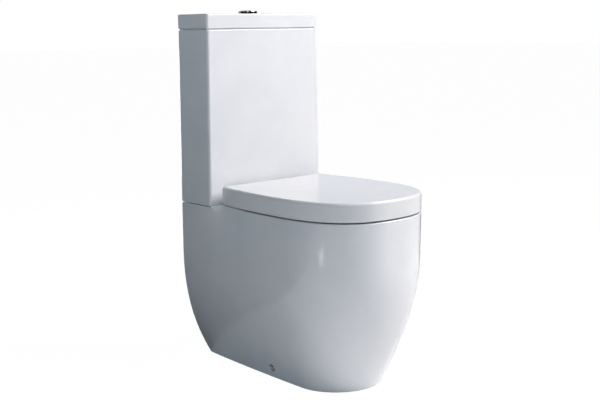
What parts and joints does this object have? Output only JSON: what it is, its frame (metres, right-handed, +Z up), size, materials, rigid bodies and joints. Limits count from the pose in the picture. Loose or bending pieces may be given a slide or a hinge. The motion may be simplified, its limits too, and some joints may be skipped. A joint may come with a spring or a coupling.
{
  "type": "toilet",
  "caption": "Close coupled toilet with a shrouded back-to-wall pan, a slim square cistern with a push button, and a wrap-over hinged seat and lid.",
  "frame": {"origin": "on the floor, half way between the wall face and the front tip, on the middle plane", "axes": "+Z up, +X to the right of a person who faces the toilet, -Y towards that person"},
  "size_m": [0.3644, 0.576, 0.8855],
  "materials": {
    "ceramic": "clear gloss glaze over white vitreous china",
    "seat_plastic": "gloss white thermoset",
    "buffers": "matt off-white",
    "chrome": "polished",
    "steel": "bright zinc and stainless",
    "rubber": "matt black",
    "white_plastic": "moulded white",
    "grey_plastic": "moulded grey",
    "blue_plastic": "moulded blue"
  },
  "bodies": {
    "toilet": {"pan": "ceramic", "cistern_tank": "ceramic", "hinge_post_left": "chrome", "hinge_post_right": "chrome", "hinge_pin_left": "steel", "hinge_pin_right": "steel", "seat_bolt_left": "steel", "seat_bolt_right": "steel", "seat_washer_left": "rubber", "seat_washer_right": "rubber", "seat_wing_nut_left": "white_plastic", "seat_wing_nut_right": "white_plastic", "coupling_bolt_left": "steel", "coupling_bolt_right": "steel", "coupling_washer_left": "rubber", "coupling_washer_right": "rubber", "coupling_wing_nut_left": "steel", "coupling_wing_nut_right": "steel", "cistern_pad_left": "rubber", "cistern_pad_right": "rubber", "floor_bracket_left": "grey_plastic", "floor_bracket_right": "grey_plastic", "floor_screw_left": "steel", "floor_screw_right": "steel", "side_screw_left": "steel", "side_screw_right": "steel", "side_cap_left": "chrome", "side_cap_right": "chrome", "flush_valve_base": "white_plastic", "flush_valve_washer": "rubber", "flush_valve_backnut": "white_plastic", "coupling_gasket": "rubber", "flush_valve_tower": "white_plastic", "fill_valve_body": "white_plastic", "fill_valve_washer": "rubber", "fill_valve_backnut": "white_plastic"},
    "seat": {"seat_ring": "seat_plastic", "seat_buffer_front_left": "buffers", "seat_buffer_front_right": "buffers", "seat_buffer_rear_left": "buffers", "seat_buffer_rear_right": "buffers", "seat_damper": "grey_plastic"},
    "lid": {"toilet_lid": "seat_plastic", "lid_buffer_left": "buffers", "lid_buffer_right": "buffers", "lid_damper": "grey_plastic"},
    "cover": {"cistern_lid": "ceramic", "button_bezel": "chrome", "bezel_nut": "grey_plastic", "button_spring_full": "steel", "button_spring_half": "steel"},
    "button_full": {"button_full": "chrome", "push_rod_full": "grey_plastic"},
    "button_half": {"button_half": "chrome", "push_rod_half": "grey_plastic"},
    "valve_core": {"flush_valve_core": "blue_plastic", "flush_valve_seal": "rubber"},
    "float": {"fill_float": "blue_plastic"},
    "lever": {"fill_lever": "grey_plastic"}
  },
  "joints": [
    {"name": "seat_hinge", "type": "hinge", "parent": "toilet", "child": "seat", "pos_m": [0, 0.135, 0.448], "axis": [-1, 0, 0], "range_deg": [0, 91.5]},
    {"name": "lid_hinge", "type": "hinge", "parent": "seat", "child": "lid", "pos_m": [0, 0.135, 0.448], "axis": [1, 0, 0], "range_deg": [-91.5, 0]},
    {"name": "cistern_lid_lift", "type": "slide", "parent": "toilet", "child": "cover", "axis": [0, 0, 1], "range_m": [0, 0.16]},
    {"name": "full_flush_press", "type": "slide", "parent": "cover", "child": "button_full", "axis": [0, 0, -1], "range_m": [0, 0.007], "stiffness_N_per_m": 400, "springref_m": -0.004, "deforming": ["button_spring_full"]},
    {"name": "half_flush_press", "type": "slide", "parent": "cover", "child": "button_half", "axis": [0, 0, -1], "range_m": [0, 0.007], "stiffness_N_per_m": 400, "springref_m": -0.004, "deforming": ["button_spring_half"]},
    {"name": "valve_core_lift", "type": "slide", "parent": "toilet", "child": "valve_core", "axis": [0, 0, 1], "range_m": [0, 0.025]},
    {"name": "float_rise", "type": "slide", "parent": "toilet", "child": "float", "axis": [0, 0, 1], "range_m": [0, 0.015]},
    {"name": "lever_tilt", "type": "hinge", "parent": "toilet", "child": "lever", "pos_m": [0.13, 0.228, 0.743], "axis": [0, 1, 0], "range_deg": [0, 25]}
  ],
  "couplings": [
    {"joint": "valve_core_lift", "follows": "full_flush_press", "ratio": 3.5},
    {"joint": "lever_tilt", "follows": "float_rise", "rad_per_m": 27.778}
  ]
}
